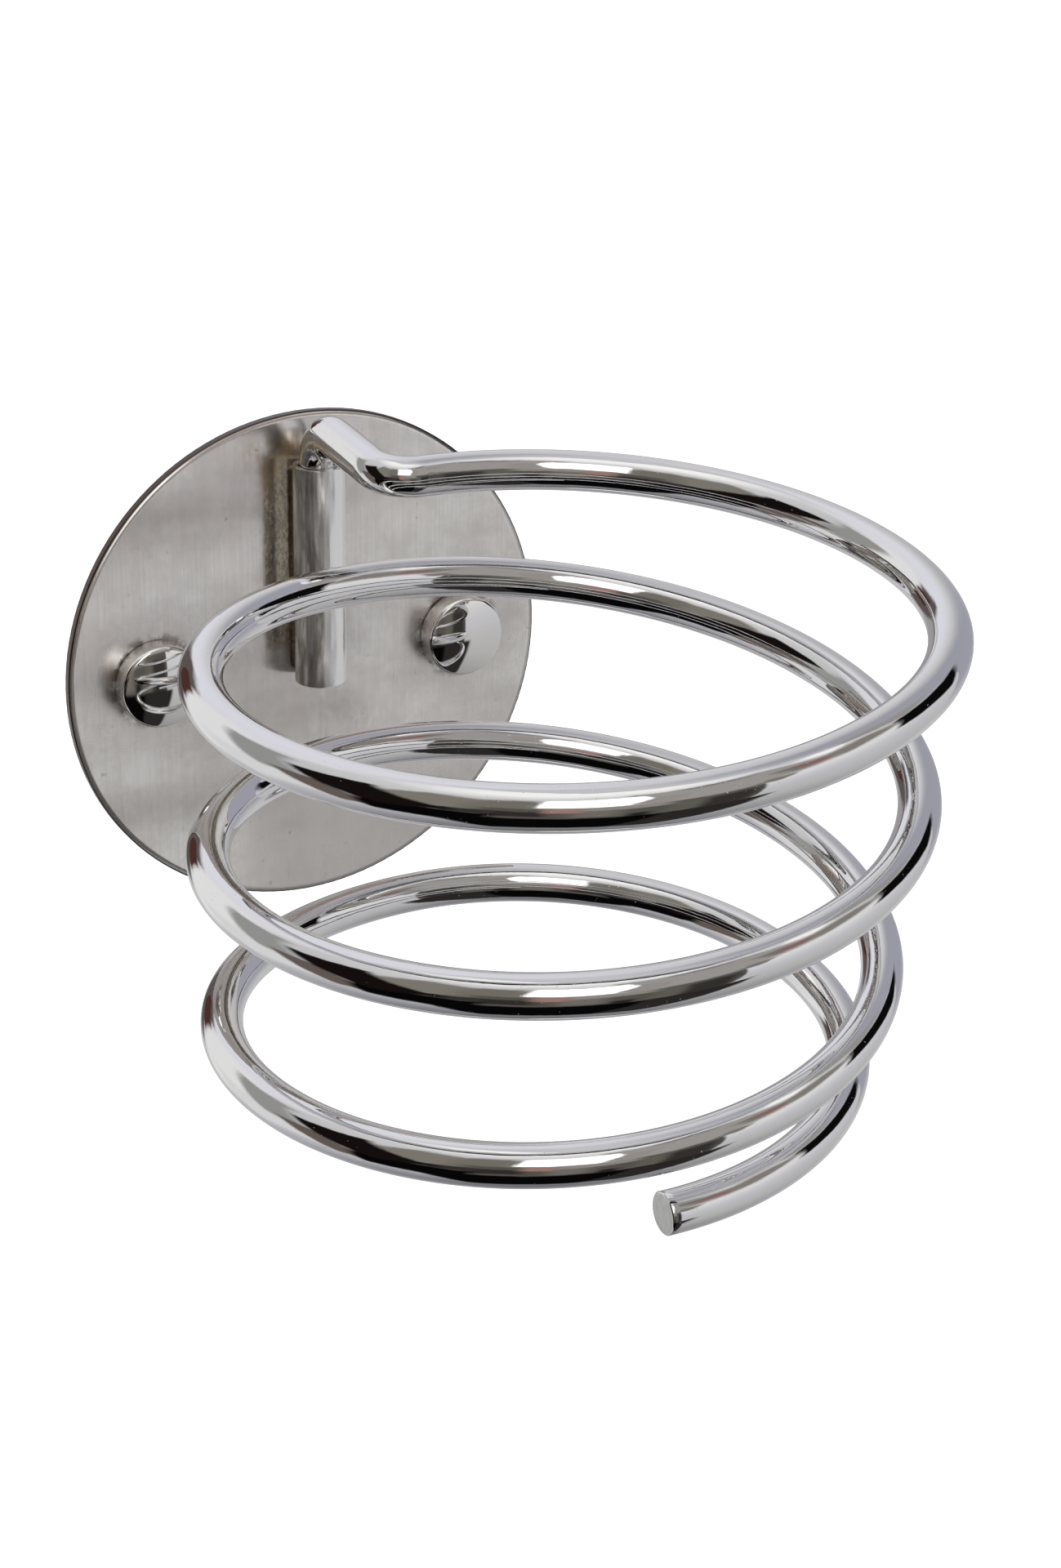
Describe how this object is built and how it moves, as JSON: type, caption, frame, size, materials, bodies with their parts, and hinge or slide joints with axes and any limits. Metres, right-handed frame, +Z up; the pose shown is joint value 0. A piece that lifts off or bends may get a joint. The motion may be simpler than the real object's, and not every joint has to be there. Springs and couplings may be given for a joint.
{
  "type": "hair dryer holder",
  "caption": "Wall-mounted hair dryer holder: a tapering coil of polished steel rod on a bent arm, its end pin standing in a tube welded to a round wall plate with domed screw caps",
  "frame": {"origin": "Centre of the wall plate's back face, on the wall plane", "axes": "+Z up along the tube and pin, +Y into the wall, -Y out of the wall along the arm at rest, +X to the viewer's right"},
  "size_m": [0.1058, 0.1452, 0.0838],
  "materials": {
    "brushed_plate": "fine brushed stainless steel",
    "polished_tube": "polished stainless steel",
    "weld_metal": "dressed weld",
    "polished_rod": "polished steel",
    "screw_steel": "plated steel",
    "dark_washer": "dull plastic",
    "mirror_cap": "mirror chrome"
  },
  "bodies": {
    "wall_bracket": {"wall_plate": "brushed_plate", "socket_tube": "polished_tube", "weld_bead_left": "weld_metal", "weld_bead_right": "weld_metal", "screw_left": "screw_steel", "screw_right": "screw_steel", "cap_washer_left": "dark_washer", "cap_washer_right": "dark_washer", "screw_cap_left": "mirror_cap", "screw_cap_right": "mirror_cap"},
    "pin": {"pivot_pin": "polished_rod"},
    "spiral": {"spiral_rod": "polished_rod"}
  },
  "joints": [
    {"name": "lift_out", "type": "slide", "parent": "wall_bracket", "child": "pin", "axis": [0, 0, 1], "range_m": [0, 0.035]},
    {"name": "swivel", "type": "hinge", "parent": "pin", "child": "spiral", "pos_m": [0, -0.0055, 0.0328], "axis": [0, 0, 1], "range_deg": [-46, 40]}
  ]
}
